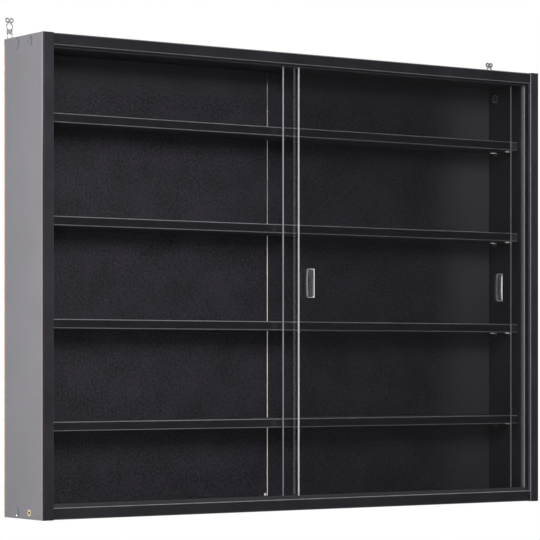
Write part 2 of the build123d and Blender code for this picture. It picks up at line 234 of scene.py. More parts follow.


# Extruded ABS edging, glued on, trimmed with a round cutter and scraped: a little smoother than
# the board. The rounded arrises carry a painted highlight, which shows as thin grey lines.
def edging_plastic(name, dark, light, axis, arris_highlight, gloss, flank, pale_end=None):
    """arris_highlight is the painted highlight, 0 to 1, on the arrises facing down and up the axis;
    flank is the colour of the side beside them, and how far it turns into the arris at the foot and
    at the top; pale_end is the paler colour of the right-hand end."""
    arris_from, arris_to, pale_length, flank_rough = 0.12, 0.97, 13 * MM, 0.9
    material, tree = blank_material(name)
    place = add(tree, COORDINATES)
    spot = place.outputs["Object"]
    apart = add(tree, SPLIT, {0: spot})
    x, z = apart.outputs["X"], apart.outputs["Z"]
    drift = add(tree, NOISE, {"Vector": spot, "Scale": per_mm(35), "Detail": 3.0})
    black = set_stops(add(tree, RAMP, {"Fac": drift}), (0.3, dark), (0.7, light))
    if pale_end:
        # The right-hand ends of the upper shelves' edging are drawn paler.
        end = add(tree, MATH, [x, X_INNER - pale_length], operation="GREATER_THAN")
        upper = add(tree, RANGE, [z, HEIGHT * 0.15, HEIGHT * 0.7])
        marked = add(tree, MATH, [end, upper], operation="MULTIPLY")
        black = add(tree, MIX, {0: marked, 6: black, 7: hex_colour(pale_end)}, data_type="RGBA")
    if axis == "X":
        # Painted shade: the uprights' edging is drawn a little darker towards the foot, where less
        # light falls.
        foot = add(tree, RANGE, [z, HEIGHT * 0.75, 0.0, 0.0, 0.3])
        black = add(tree, MIX, {0: foot, 6: black, 7: hex_colour("0E0D10")}, data_type="RGBA")
    facing = add(tree, SPLIT, {0: place.outputs["Normal"]}).outputs[axis]
    flank_colour, turn_foot, turn_top = flank
    turn = add(tree, RANGE, [z, Z_OPEN, Z_FLUSH, turn_foot, turn_top])
    beside = add(tree, MATH, [facing, turn], operation="LESS_THAN")
    black = add(tree, MIX, {0: beside, 6: black, 7: hex_colour(flank_colour)}, data_type="RGBA")
    # Painted highlight: pale grey along the rounded arrises, patchy along their length.
    painted_highlight = 0.0
    for sign, amount in zip((-1, 1), arris_highlight):
        turned = add(tree, MATH, [facing, sign], operation="MULTIPLY")
        begun = add(tree, MATH, [turned, arris_from], operation="GREATER_THAN")
        ended = add(tree, MATH, [turned, arris_to], operation="LESS_THAN")
        arris = add(tree, MATH, [begun, ended], operation="MULTIPLY")
        painted_highlight = add(tree, MATH, [arris, amount, painted_highlight], operation="MULTIPLY_ADD")
    streak = add(tree, NOISE, {"Vector": spot, "Scale": per_mm(14), "Detail": 2.0})
    patchy = add(tree, RANGE, {"Value": streak, "To Min": 0.5, "To Max": 1.3})
    share = add(tree, MATH, [painted_highlight, patchy], operation="MULTIPLY")
    colour = add(tree, MIX, {0: share, 6: black, 7: hex_colour("6C6A70")}, data_type="RGBA")

    grain = add(tree, NOISE, {"Vector": spot, "Scale": per_mm(1.0), "Detail": 2.0})
    smooth = add(tree, RANGE, {"Value": grain, "To Min": 0.27, "To Max": 0.37})
    rough = add(tree, MIX, {0: beside, 2: smooth, 3: flank_rough}, data_type="FLOAT")
    bump = add(tree, BUMP, {"Height": grain, "Strength": 0.1, "Distance": 0.05 * MM})
    surface(tree, Base_Color=colour, Roughness=rough, Specular_IOR_Level=gloss, Normal=bump)
    return material


# Hardboard: wood fibre pressed into a thin sheet, black lacquer sprayed on its front. The edges
# and the rear are raw, and the rear carries the print of the press's wire screen.
def lacquered_hardboard(name):
    facing_from, broad_share, fleck_from, lacquer_rough = 0.5, 0.25, 0.64, 0.55
    material, tree = blank_material(name)
    place = add(tree, COORDINATES)
    spot = place.outputs["Object"]
    apart = add(tree, SPLIT, {0: spot})
    z = apart.outputs["Z"]
    facing = add(tree, SPLIT, {0: place.outputs["Normal"]}).outputs["Y"]
    front = add(tree, MATH, [facing, -facing_from], operation="LESS_THAN")
    rear = add(tree, MATH, [facing, facing_from], operation="GREATER_THAN")

    # Lacquer takes unevenly on the fibres: a fine mottle over a broad one.
    crisp = {"Vector": spot, "Scale": per_mm(3.0), "Detail": 2.0, "Roughness": 0.8, "Lacunarity": 2.3}
    fine = add(tree, NOISE, crisp)
    broad = add(tree, NOISE, {"Vector": spot, "Scale": per_mm(45), "Detail": 2.0})
    mottle = add(tree, MATH, [broad, broad_share, fine], operation="MULTIPLY_ADD")
    lacquer = set_stops(add(tree, RAMP, {"Fac": mottle}), (0.49, "06060A"), (0.74, "2B2831"))
    # Painted light: the lacquer is drawn lighter towards the right-hand end, above all high up, where
    # the back is brighter, and just under the top board, lifting the shade there.
    share = add(tree, RANGE, [z, 0.0, HEIGHT * 0.8, 0.42, 0.95])
    rightward = [apart.outputs["X"], X_INNER - 115 * MM, X_INNER - 30 * MM, 0.0, share]
    upward = [z, Z_CEILING - 50 * MM, Z_CEILING - 20 * MM, 0.0, 0.3]
    for span in (rightward, upward):
        painted_light = add(tree, RANGE, span, interpolation_type="SMOOTHSTEP")
        lacquer = add(tree, MIX, {0: painted_light, 6: lacquer, 7: hex_colour("3F3D42")}, data_type="RGBA")
    # A white speck sits at the foot, just left of the split.
    speck_place = Vector((-3.4 * MM, back_low.y, Z_FLOOR + 1.6 * MM))
    speck = near_spot(tree, spot, speck_place, 2.0 * MM)
    lacquered = add(tree, MIX, {0: speck, 6: lacquer, 7: hex_colour("D8D7CF")}, data_type="RGBA")

    fibre = add(tree, NOISE, {"Vector": spot, "Scale": per_mm(3.0), "Detail": 6.0})
    raw = set_stops(add(tree, RAMP, {"Fac": fibre}), (0.0, "8A6C55"), (1.0, "A98A70"))
    # Where the halves meet, lacquer mist and dust lie on the raw edge, with torn white fibres. The edge
    # is drawn whiter low down, and painted shade darkens it just under the top board.
    along = add(tree, MAPPING, {"Vector": spot, "Scale": (0.0, 0.0, 1.0)})
    dust = add(tree, NOISE, {"Vector": along, "Scale": per_mm(38), "Detail": 4.0})
    seam = set_stops(add(tree, RAMP, {"Fac": dust}), (0.3, "9A948C"), (0.7, "E8E0D4"))
    whiter_below = add(tree, RANGE, [z, HEIGHT * 0.65, HEIGHT * 0.55, 0.0, 0.8])
    torn = add(tree, NOISE, {"Vector": along, "Scale": per_mm(5), "Detail": 1.0})
    fleck = add(tree, MATH, [torn, fleck_from], operation="GREATER_THAN")
    # Painted shade: the seam's top, under the top board.
    shaded = add(tree, RANGE, [z, Z_CEILING - 20 * MM, Z_CEILING - 11 * MM, 0.0, 0.93])
    for mask, text in ((whiter_below, "FFF4E6"), (fleck, "F2EDE4"), (shaded, "1C1B1E")):
        seam = add(tree, MIX, {0: mask, 6: seam, 7: hex_colour(text)}, data_type="RGBA")
    bare = add(tree, MIX, {0: rear, 6: seam, 7: raw}, data_type="RGBA")

    wires = {"Vector": spot, "Scale": per_mm(1.6), "Randomness": 0.15}
    screen = add(tree, "ShaderNodeTexVoronoi", wires)
    height = add(tree, MIX, {0: front, 2: screen.outputs["Distance"], 3: mottle}, data_type="FLOAT")
    surface(
        tree,
        Base_Color=add(tree, MIX, {0: front, 6: bare, 7: lacquered}, data_type="RGBA"),
        Roughness=add(tree, MIX, {0: front, 2: RAW, 3: lacquer_rough}, data_type="FLOAT"),
        Specular_IOR_Level=0.35,
        Normal=add(tree, BUMP, {"Height": height, "Strength": 0.25, "Distance": 0.15 * MM}),
    )
    return material


# Rigid PVC channel, extruded: a satin black with faint lines along its length.
def channel_plastic():
    material, tree = blank_material("pvc_channel_black")
    spot = add(tree, COORDINATES).outputs["Object"]
    along = add(tree, MAPPING, {"Vector": spot, "Scale": (0.01, 1.0, 1.0)})
    lines = add(tree, NOISE, {"Vector": along, "Scale": per_mm(0.6), "Detail": 2.0})
    black = set_stops(add(tree, RAMP, {"Fac": lines}), (0.0, "2A292C"), (1.0, "3C3A3E"))
    rough = add(tree, RANGE, {"Value": lines, "To Min": 0.3, "To Max": 0.45})
    bump = add(tree, BUMP, {"Height": lines, "Strength": 0.1, "Distance": 0.05 * MM})
    surface(tree, Base_Color=black, Roughness=rough, Normal=bump)
    return material


def let_light_through(tree, shader, tint, solid_share, glow_colour, glow):
    """Clear to the camera. Light goes straight on for shadows and for reflections, which see only the
    solid share: ground edges that glow with painted light, standing for the light carried along
    inside the sheet."""
    light_path = add(tree, "ShaderNodeLightPath")
    straight = add(tree, "ShaderNodeBsdfTransparent", {"Color": tint})
    # Painted light: an emission shader makes the solid share glow for reflections.
    solid = add(tree, "ShaderNodeEmission", {"Color": glow_colour, "Strength": glow})
    mirrored = add(tree, "ShaderNodeMixShader", [solid_share, straight, solid])
    seen = add(tree, "ShaderNodeMixShader", [light_path.outputs["Is Reflection Ray"], shader, mirrored])
    lit = add(tree, "ShaderNodeMixShader", [light_path.outputs["Is Shadow Ray"], seen, straight])
    add(tree, "ShaderNodeOutputMaterial", {"Surface": lit})


# Clear float glass: its two faces are flat and clear, its cut edges are ground, which makes them
# pale and slightly green, with patches of grime.
def float_glass(name, node, left_top, left_foot, right_edge, bloom):
    """The left edge has a colour at its top and at its foot; bloom is the painted haze of light
    beside the right edge.
    """
    bloom_width, glow, face_from, ground_rough = 9 * MM, 0.75, 0.9, 0.6
    material, tree = blank_material(name)
    low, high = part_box(node)
    place = add(tree, COORDINATES)
    spot = place.outputs["Object"]
    apart = add(tree, SPLIT, {0: spot})
    x = apart.outputs["X"]
    facing = add(tree, SPLIT, {0: place.outputs["Normal"]}).outputs["Y"]
    flatness = add(tree, MATH, [facing], operation="ABSOLUTE")
    ground = add(tree, MATH, [flatness, face_from], operation="LESS_THAN")
    on_right = add(tree, MATH, [x, (low.x + high.x) / 2], operation="GREATER_THAN")
    up = add(tree, RANGE, [apart.outputs["Z"], Z_FLOOR, HEIGHT])
    grit = add(tree, NOISE, {"Vector": spot, "Scale": per_mm(6.0), "Detail": 3.0})
    marked = add(tree, RANGE, {"Value": grit, "To Min": 0.0, "To Max": 0.3})
    edge = hex_colour(left_foot)
    for mask, text in ((up, left_top), (on_right, right_edge), (marked, "8D9494")):
        edge = add(tree, MIX, {0: mask, 6: edge, 7: hex_colour(text)}, data_type="RGBA")
    colour = add(tree, MIX, {0: ground, 6: hex_colour("FBFCFC"), 7: edge}, data_type="RGBA")
    # Painted light: beside its right edge the pane is drawn hazy, a bloom of light there.
    span = [x, high.x - bloom_width, high.x, 1.0, 1.0 - bloom]
    hazed = add(tree, RANGE, span, interpolation_type="SMOOTHSTEP")
    clear = add(tree, MIX, {0: ground, 2: hazed, 3: 0.0}, data_type="FLOAT")
    rough = add(tree, MIX, {0: ground, 2: 0.0, 3: ground_rough}, data_type="FLOAT")
    looks = {"Base Color": colour, "Roughness": rough, "Transmission Weight": clear, "IOR": 1.52}
    shader = add(tree, "ShaderNodeBsdfPrincipled", looks)
    # Mirrored in both faces of the other pane, the ground edge shows half a pane's thickness wider:
    # a strip of the face beside it glows for reflections too, a painted reflection.
    beside = add(tree, MATH, [x, low.x + (high.y - low.y) / 2], operation="LESS_THAN")
    twice = add(tree, MATH, [ground, beside], operation="MAXIMUM")
    # Painted light: the ground edges glow brightly on the left and faintly on the right.
    glows = {0: on_right, 6: hex_colour("F4F6F6"), 7: hex_colour("303233")}
    glow_colour = add(tree, MIX, glows, data_type="RGBA")
    let_light_through(tree, shader, hex_colour("F8F8F9"), twice, glow_colour, glow)
    return material


# Moulded acrylic: clear and glossy, drawn slightly wavy by the mould. The thick grip wall and the
# thin rim are frosted, and carry a painted highlight that flashes white and glows for reflections.
def moulded_acrylic(name, node, inset, bow, rim_solid):
    """inset is how far the painted highlight of the grip wall lies inside its outer side, which is
    painted dark; bow narrows the highlight towards its ends; rim_solid is how frosted the thin rim is."""
    grip_width, flash, left_bow, glow = 1.6 * MM, 1.2 * MM, 0.8 * MM, 0.6
    rim_wall, left_wall = 0.45 * MM, 1.7 * MM
    material, tree = blank_material(name)
    low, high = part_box(node)
    half_height = (high.z - low.z) / 2
    spot = add(tree, COORDINATES).outputs["Object"]
    apart = add(tree, SPLIT, {0: spot})
    x = apart.outputs["X"]
    grip_wall = add(tree, MATH, [x, high.x - inset - grip_width], operation="GREATER_THAN")
    dark_side = add(tree, MATH, [x, high.x - inset], operation="GREATER_THAN")
    upward = distance_from(tree, apart.outputs["Z"], (low.z + high.z) / 2)
    along = add(tree, MATH, [upward, half_height], operation="DIVIDE")
    endward = add(tree, MATH, [along, along], operation="MULTIPLY")
    # Painted highlight: the grip wall flashes white, narrower towards its ends; its outer side is
    # painted dark.
    flash_span = [endward, bow * flash, high.x - inset - flash]
    flash_from = add(tree, MATH, flash_span, operation="MULTIPLY_ADD")
    bright = add(tree, MATH, [x, flash_from], operation="GREATER_THAN")
    grip = add(tree, MATH, [bright, dark_side], operation="SUBTRACT", use_clamp=True)
    # The left wall bows outwards at mid height.
    drawn_in = add(tree, MATH, [endward, left_bow], operation="MULTIPLY")
    from_left = add(tree, MATH, [x, low.x], operation="SUBTRACT")
    across = add(tree, MATH, [from_left, drawn_in], operation="SUBTRACT")
    at_side = add(tree, MATH, [across, rim_wall], operation="LESS_THAN")
    at_end = add(tree, MATH, [upward, half_height - rim_wall], operation="GREATER_THAN")
    rim = add(tree, MATH, [at_side, at_end], operation="MAXIMUM")

    drawn = add(tree, MAPPING, {"Vector": spot, "Scale": (1.0, 1.0, 0.12)})
    flow = add(tree, NOISE, {"Vector": drawn, "Scale": per_mm(1.6), "Detail": 3.0})
    colour = set_stops(add(tree, RAMP, {"Fac": flow}), (0.35, "E9E9EA"), (0.7, "F9F9F9"))
    # Inside their bright outer skin the walls are painted dark, standing for the dark cabinet seen
    # bent through them.
    thin_wall = add(tree, MATH, [across, left_wall], operation="LESS_THAN")
    walled = add(tree, MATH, [thin_wall, grip_wall], operation="MAXIMUM")
    for mask, text in ((walled, "58585A"), (rim, "E0E0E1"), (grip, "EDEEEC"), (dark_side, "101012")):
        colour = add(tree, MIX, {0: mask, 6: colour, 7: hex_colour(text)}, data_type="RGBA")
    clear = add(tree, RANGE, {"Value": flow, "To Min": 1.0, "To Max": 0.972})
    rough = 0.03
    for mask, frosted, dulled in ((rim, 1.0 - rim_solid, 0.3), (grip, 0.08, 0.45)):
        clear = add(tree, MIX, {0: mask, 2: clear, 3: frosted}, data_type="FLOAT")
        rough = add(tree, MIX, {0: mask, 2: rough, 3: dulled}, data_type="FLOAT")
    looks = {
        "Base Color": colour,
        "Roughness": rough,
        "Transmission Weight": clear,
        "IOR": 1.49,
        "Normal": add(tree, BUMP, {"Height": flow, "Strength": 0.5, "Distance": 0.12 * MM}),
    }
    shader = add(tree, "ShaderNodeBsdfPrincipled", looks)
    # Painted light: the grip wall and rim glow for reflections.
    walls = add(tree, MATH, [grip, rim], operation="MAXIMUM")
    let_light_through(tree, shader, hex_colour("F5F5F5"), walls, hex_colour("C4C4C6"), glow)
    return material


# Zinc-plated, nickel-plated or bright steel: a metal that varies a little in tone and gloss.
def plated_steel(name, dark, light, smooth, dull, patch_mm, sheared=None):
    """sheared is the roughness of slanting corners, where a support was cut from its sheet."""
    slant_from = 0.2
    material, tree = blank_material(name)
    place = add(tree, COORDINATES)
    patch = {"Vector": place.outputs["Object"], "Scale": per_mm(patch_mm), "Detail": 4.0}
    patches = add(tree, NOISE, patch)
    tone = set_stops(add(tree, RAMP, {"Fac": patches}), (0.3, dark), (0.7, light))
    rough = add(tree, RANGE, {"Value": patches, "To Min": smooth, "To Max": dull})
    if sheared:
        facing = add(tree, SPLIT, {0: place.outputs["Normal"]})
        slant = add(tree, MATH, [facing.outputs["X"], facing.outputs["Y"]], operation="MULTIPLY")
        steep = add(tree, MATH, [slant], operation="ABSOLUTE")
        cut = add(tree, MATH, [steep, slant_from], operation="GREATER_THAN")
        rough = add(tree, MIX, {0: cut, 2: rough, 3: sheared}, data_type="FLOAT")
    bump = add(tree, BUMP, {"Height": patches, "Strength": 0.1, "Distance": 0.05 * MM})
    surface(tree, Base_Color=tone, Metallic=1.0, Roughness=rough, Normal=bump)
    return material


# Cross nut coated in black plastic. Its flange is domed: the crown of the dome is drawn as a paler
# ring, and outside it the flange falls back to the panel's black.
def coated_nut(name, node):
    outer_rim, inner_rim = 1.0 * MM, 2.2 * MM
    material, tree = blank_material(name)
    low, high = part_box(node)
    spot = add(tree, COORDINATES).outputs["Object"]
    level = add(tree, MAPPING, {"Vector": spot, "Scale": (0.0, 1.0, 1.0)})
    middle = (low + high) / 2
    centre = Vector((0, middle.y, middle.z))
    flange = (high.z - low.z) / 2
    scuff = add(tree, NOISE, {"Vector": spot, "Scale": per_mm(2.0), "Detail": 3.0})
    crown = set_stops(add(tree, RAMP, {"Fac": scuff}), (0.35, "79777D"), (0.65, "98969C"))
    tone = hex_colour("232226")
    for rim, colour in ((outer_rim, crown), (inner_rim, hex_colour("4A484F"))):
        within = near_spot(tree, level, centre, flange - rim)
        tone = add(tree, MIX, {0: within, 6: tone, 7: colour}, data_type="RGBA")
    rough = add(tree, RANGE, {"Value": scuff, "To Min": 0.4, "To Max": 0.55})
    surface(tree, Base_Color=tone, Roughness=rough)
    return material


# Thin black PVC film punched into discs, with a faint emboss. A screwdriver has slipped over one;
# its scratch is drawn as a pale line beside a dark one, painted light and shade on its two flanks.
# One has a torn rim that shows white, beside a painted shadow in the gap under it.
def cap_film():
    slip, slip_width, slip_reach = math.radians(38), 0.45 * MM, 5.8 * MM
    material, tree = blank_material("pvc_film_black")
    spot = add(tree, COORDINATES).outputs["Object"]
    apart = add(tree, SPLIT, {0: spot})
    x, y, z = apart.outputs
    grain = add(tree, NOISE, {"Vector": spot, "Scale": per_mm(1.2), "Detail": 2.0})
    black = set_stops(add(tree, RAMP, {"Fac": grain}), (0.0, "212024"), (1.0, "2C2B2F"))
    boxes = separate_boxes("cover_caps_left")
    upper_front = middle_of(min(boxes, key=lambda box: box[0].y))
    lower_rear = middle_of(min(boxes, key=lambda box: box[0].z))
    ahead = add(tree, MATH, [y, upper_front.y], operation="SUBTRACT")
    above = add(tree, MATH, [z, upper_front.z], operation="SUBTRACT")
    rising = add(tree, MATH, [above, math.cos(slip)], operation="MULTIPLY")
    passing = add(tree, MATH, [ahead, math.sin(slip)], operation="MULTIPLY")
    aside = add(tree, MATH, [rising, passing], operation="ADD")
    on_left = add(tree, MATH, [x, 0.0], operation="LESS_THAN")
    within = near_spot(tree, spot, upper_front, slip_reach)
    on_cap = add(tree, MATH, [within, on_left], operation="MULTIPLY")
    dull = 0.0
    # Painted light and shade: a pale line on one flank of the scratch, a dark one on the other.
    for offset, text in ((-slip_width, "5C5A61"), (slip_width, "0C0B0D")):
        away = distance_from(tree, aside, offset)
        narrow = add(tree, MATH, [away, slip_width], operation="LESS_THAN")
        line = add(tree, MATH, [narrow, on_cap], operation="MULTIPLY")
        black = add(tree, MIX, {0: line, 6: black, 7: hex_colour(text)}, data_type="RGBA")
        dull = add(tree, MATH, [dull, line], operation="MAXIMUM")
    tear = lower_rear + Vector((0, -2.9, -4.3)) * MM
    # Painted shadow: a dark spot in the gap under the torn rim.
    gap_shadow = tear + Vector((0, -2.5, 0.9)) * MM
    for middle, reach, text in ((gap_shadow, 1.4 * MM, "0A090B"), (tear, 1.0 * MM, "F4F2EE")):
        flaw = near_spot(tree, spot, middle, reach)
        black = add(tree, MIX, {0: flaw, 6: black, 7: hex_colour(text)}, data_type="RGBA")
        dull = add(tree, MATH, [dull, flaw], operation="MAXIMUM")
    sheen = add(tree, RANGE, {"Value": grain, "To Min": 0.42, "To Max": 0.55})
    rough = add(tree, MIX, {0: dull, 2: sheen, 3: 1.0}, data_type="FLOAT")
    surface(tree, Base_Color=black, Roughness=rough)
    return material


def middle_of(box):
    return (box[0] + box[1]) / 2


def separate_boxes(node):
    """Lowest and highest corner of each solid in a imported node, read from a merged copy of it."""
    same_point = 0.001 * MM
    shape = bmesh.new()
    shape.from_mesh(nodes[node].data)
    bmesh.ops.remove_doubles(shape, verts=shape.verts, dist=same_point)
    waiting = set(shape.verts)
    boxes = []
    for first in shape.verts:
        if first not in waiting:
            continue
        waiting.discard(first)
        found = [first]
        for vert in found:
            for edge in vert.link_edges:
                other = edge.other_vert(vert)
                if other in waiting:
                    waiting.discard(other)
                    found.append(other)
        corners = [vert.co for vert in found]
        low = Vector([min(corner[i] for corner in corners) for i in range(3)])
        high = Vector([max(corner[i] for corner in corners) for i in range(3)])
        boxes.append((low, high))
    shape.free()
    return boxes


# Small hardware, grown from node trees: one shape for each kind, set at every place that the packed
# parts give it.
def rod(tree, radius, depth, top, sides=24):
    """Upright cylinder that reaches down from the height top."""
    form = {"Vertices": sides, "Radius": radius, "Depth": depth}
    body = add(tree, "GeometryNodeMeshCylinder", form)
    middle = add(tree, MATH, [depth, -0.5, top], operation="MULTIPLY_ADD")
    return raised(tree, body, middle)


def cone(tree, radius_top, radius_bottom, depth, top, sides=24):
    """Upright cone, cut short, that reaches down from the height top."""
    form = {"Vertices": sides, "Radius Top": radius_top, "Radius Bottom": radius_bottom, "Depth": depth}
    body = add(tree, "GeometryNodeMeshCone", form)
    foot = add(tree, MATH, [top, depth], operation="SUBTRACT")
    return raised(tree, body, foot)


def raised(tree, shape, height):
    shift = add(tree, SHIFT, {"Z": height})
    return add(tree, PLACE, {"Geometry": shape, "Translation": shift})


def nail_shape(tree, size):
    """Bright nail: shank, cut point, and a thin flat head with a bevelled rim."""
    point_share, point_radius, bevel_share, sides = 3.0, 0.1 * MM, 0.4, 12
    shank_radius, head_radius = size["Shank radius"], size["Head radius"]
    point = add(tree, MATH, [shank_radius, point_share], operation="MULTIPLY")
    straight = add(tree, MATH, [size["Length"], point], operation="SUBTRACT")
    shank = rod(tree, shank_radius, straight, 0.0, sides)
    point_top = add(tree, MATH, [straight, -1.0], operation="MULTIPLY")
    tip = cone(tree, shank_radius, point_radius, point, point_top, sides)
    bevel = add(tree, MATH, [size["Head height"], bevel_share], operation="MULTIPLY")
    skirt = add(tree, MATH, [size["Head height"], bevel], operation="SUBTRACT")
    head = rod(tree, head_radius, skirt, skirt)
    narrow = add(tree, MATH, [head_radius, bevel], operation="SUBTRACT")
    crown = cone(tree, narrow, head_radius, bevel, size["Head height"])
    return add(tree, JOIN, {"Geometry": [shank, tip, head, crown]})


def screw_shape(tree, size):
    """One-piece connector screw: bevelled head with a hexagon socket, plain neck, coarse thread."""
    bevel, mouth = 0.35 * MM, 0.5 * MM
    head_sides, key_sides, ridge_sides, steps_per_turn = 32, 6, 3, 14
    narrow = add(tree, MATH, [size["Head radius"], bevel], operation="SUBTRACT")
    crown = cone(tree, narrow, size["Head radius"], bevel, 0.0, head_sides)
    skirt_depth = add(tree, MATH, [size["Head height"], bevel], operation="SUBTRACT")
    skirt = rod(tree, size["Head radius"], skirt_depth, -bevel, head_sides)
    blank = add(tree, JOIN, {"Geometry": [crown, skirt]})
    welded = add(tree, WELD, {"Geometry": blank, "Distance": WELD_REACH})
    key_depth = add(tree, MATH, [size["Socket depth"], mouth], operation="ADD")
    key = rod(tree, size["Socket radius"], key_depth, mouth, key_sides)
    cut = {"Mesh 1": welded, "Mesh 2": key}
    sunk = add(tree, "GeometryNodeMeshBoolean", cut, operation="DIFFERENCE")
    neck_top = add(tree, MATH, [size["Head height"], -1.0], operation="MULTIPLY")
    neck = rod(tree, size["Neck radius"], size["Neck depth"], neck_top)
    head_and_neck = add(tree, MATH, [size["Head height"], size["Neck depth"]], operation="ADD")
    core_depth = add(tree, MATH, [size["Length"], head_and_neck], operation="SUBTRACT")
    core_top = add(tree, MATH, [head_and_neck, -1.0], operation="MULTIPLY")
    core = rod(tree, size["Core radius"], core_depth, core_top)
    winding = {
        "Resolution": steps_per_turn,
        "Rotations": add(tree, MATH, [core_depth, size["Pitch"]], operation="DIVIDE"),
        "Start Radius": size["Core radius"],
        "End Radius": size["Core radius"],
        "Height": core_depth,
    }
    helix = add(tree, "GeometryNodeCurveSpiral", winding)
    ridge = {"Resolution": ridge_sides, "Radius": size["Thread depth"]}
    flank = add(tree, "GeometryNodeCurvePrimitiveCircle", ridge)
    sweep = {"Curve": helix, "Profile Curve": flank, "Fill Caps": True}
    thread = add(tree, "GeometryNodeCurveToMesh", sweep)
    screw_end = add(tree, MATH, [size["Length"], -1.0], operation="MULTIPLY")
    lowered = raised(tree, thread, screw_end)
    return add(tree, JOIN, {"Geometry": [sunk, neck, core, lowered]})


def plate_shape(tree, length, width, thickness, corner, count):
    """Flat plate lying on the ground plane about its centre, with rounded corners."""
    outline = add(tree, "GeometryNodeCurvePrimitiveQuadrilateral", {"Width": length, "Height": width})
    fillet = {"Curve": outline, "Radius": corner, "Count": count}
    eased = add(tree, "GeometryNodeFilletCurve", fillet, mode="POLY")
    sheet = add(tree, "GeometryNodeFillCurve", {"Curve": eased}, mode="NGONS")
    lift = {"Mesh": sheet, "Offset Scale": thickness, "Individual": False}
    thick = add(tree, "GeometryNodeExtrudeMesh", lift)
    under = add(tree, "GeometryNodeFlipFaces", {"Mesh": sheet})
    closed = add(tree, JOIN, {"Geometry": [thick, under]})
    return add(tree, WELD, {"Geometry": closed, "Distance": WELD_REACH})


def support_shape(tree, size):
    """Angle support at a right-hand panel: ribbed peg, upright plate and a tab under the shelf."""
    small_corner, cut_steps, round_steps = 0.6 * MM, 1, 3
    rib_count, rib_depth, rib_stand, rib_pitch, rib_lead = 4, 0.8 * MM, 1.015, 0.2, 0.05
    width, plate = size["Width"], size["Plate"]
    tab = plate_shape(tree, size["Tab length"], width, plate, size["Corner"], cut_steps)
    out = add(tree, MATH, [size["Tab length"], -0.5], operation="MULTIPLY")
    down = add(tree, MATH, [plate, -1.0], operation="MULTIPLY")
    tab_shift = add(tree, SHIFT, {"X": out, "Z": down})
    tab = add(tree, PLACE, {"Geometry": tab, "Translation": tab_shift})
    upright = plate_shape(tree, size["Upright"], width, plate, small_corner, round_steps)
    lower = add(tree, MATH, [size["Upright"], -0.5], operation="MULTIPLY")
    upright_shift = add(tree, SHIFT, {"X": down, "Z": lower})
    stood = {"Geometry": upright, "Translation": upright_shift, "Rotation": (0, QUARTER, 0)}
    upright = add(tree, PLACE, stood)
    ribs = [rod(tree, size["Peg radius"], size["Peg length"], 0.0)]
    rib_radius = add(tree, MATH, [size["Peg radius"], rib_stand], operation="MULTIPLY")
    for i in range(rib_count):
        share = -rib_pitch * (i + 1) + rib_lead
        rib_top = add(tree, MATH, [size["Peg length"], share], operation="MULTIPLY")
        ribs.append(cone(tree, rib_radius, size["Peg radius"], rib_depth, rib_top))
    peg = add(tree, JOIN, {"Geometry": ribs})
    peg_shift = add(tree, SHIFT, {"Z": lower})
    laid = {"Geometry": peg, "Translation": peg_shift, "Rotation": (0, -QUARTER, 0)}
    peg = add(tree, PLACE, laid)
    return add(tree, JOIN, {"Geometry": [tab, upright, peg]})


def cap_shape(tree, size):
    """Thin disc of film, a little crowned, with a bevelled rim."""
    bevel_share, sides = 0.5, 48
    bevel = add(tree, MATH, [size["Thickness"], bevel_share], operation="MULTIPLY")
    skirt = rod(tree, size["Radius"], bevel, bevel, sides)
    narrow = add(tree, MATH, [size["Radius"], bevel], operation="SUBTRACT")
    crown = cone(tree, narrow, size["Radius"], bevel, size["Thickness"], sides)
    return add(tree, JOIN, {"Geometry": [skirt, crown]})


def hardware_tree(name, shape, sizes, material, wobble, seed):
    """Node tree that sets a shape, turned as each place says and a little at random, at every place."""
    tree = bpy.data.node_groups.new(name, "GeometryNodeTree")
    tree.interface.new_socket("Places", in_out="INPUT", socket_type="NodeSocketGeometry")
    for label, value in sizes.items():
        socket = tree.interface.new_socket(label, in_out="INPUT", socket_type="NodeSocketFloat")
        socket.default_value = value
    tree.interface.new_socket("Pieces", in_out="OUTPUT", socket_type="NodeSocketGeometry")
    given = add(tree, "NodeGroupInput")
    one = shape(tree, {label: given.outputs[label] for label in sizes})
    turn = add(tree, "GeometryNodeInputNamedAttribute", {"Name": "turn"}, data_type="FLOAT_VECTOR")
    stand = add(tree, "FunctionNodeEulerToRotation", {"Euler": turn.outputs["Attribute"]})
    bounds = {0: tuple(-w for w in wobble), 1: wobble, "Seed": seed}
    chance = add(tree, "FunctionNodeRandomValue", bounds, data_type="FLOAT_VECTOR")
    stir = add(tree, "FunctionNodeEulerToRotation", {"Euler": chance})
    turns = {"Rotation": stand, "Rotate By": stir}
    turned = add(tree, "FunctionNodeRotateRotation", turns, rotation_space="LOCAL")
    sets = {"Points": given.outputs["Places"], "Instance": one, "Rotation": turned}
    spread = add(tree, "GeometryNodeInstanceOnPoints", sets)
    real = add(tree, "GeometryNodeRealizeInstances", {"Geometry": spread})
    clad = add(tree, "GeometryNodeSetMaterial", {"Geometry": real, "Material": material})
    add(tree, "NodeGroupOutput", {"Pieces": clad})
    return tree


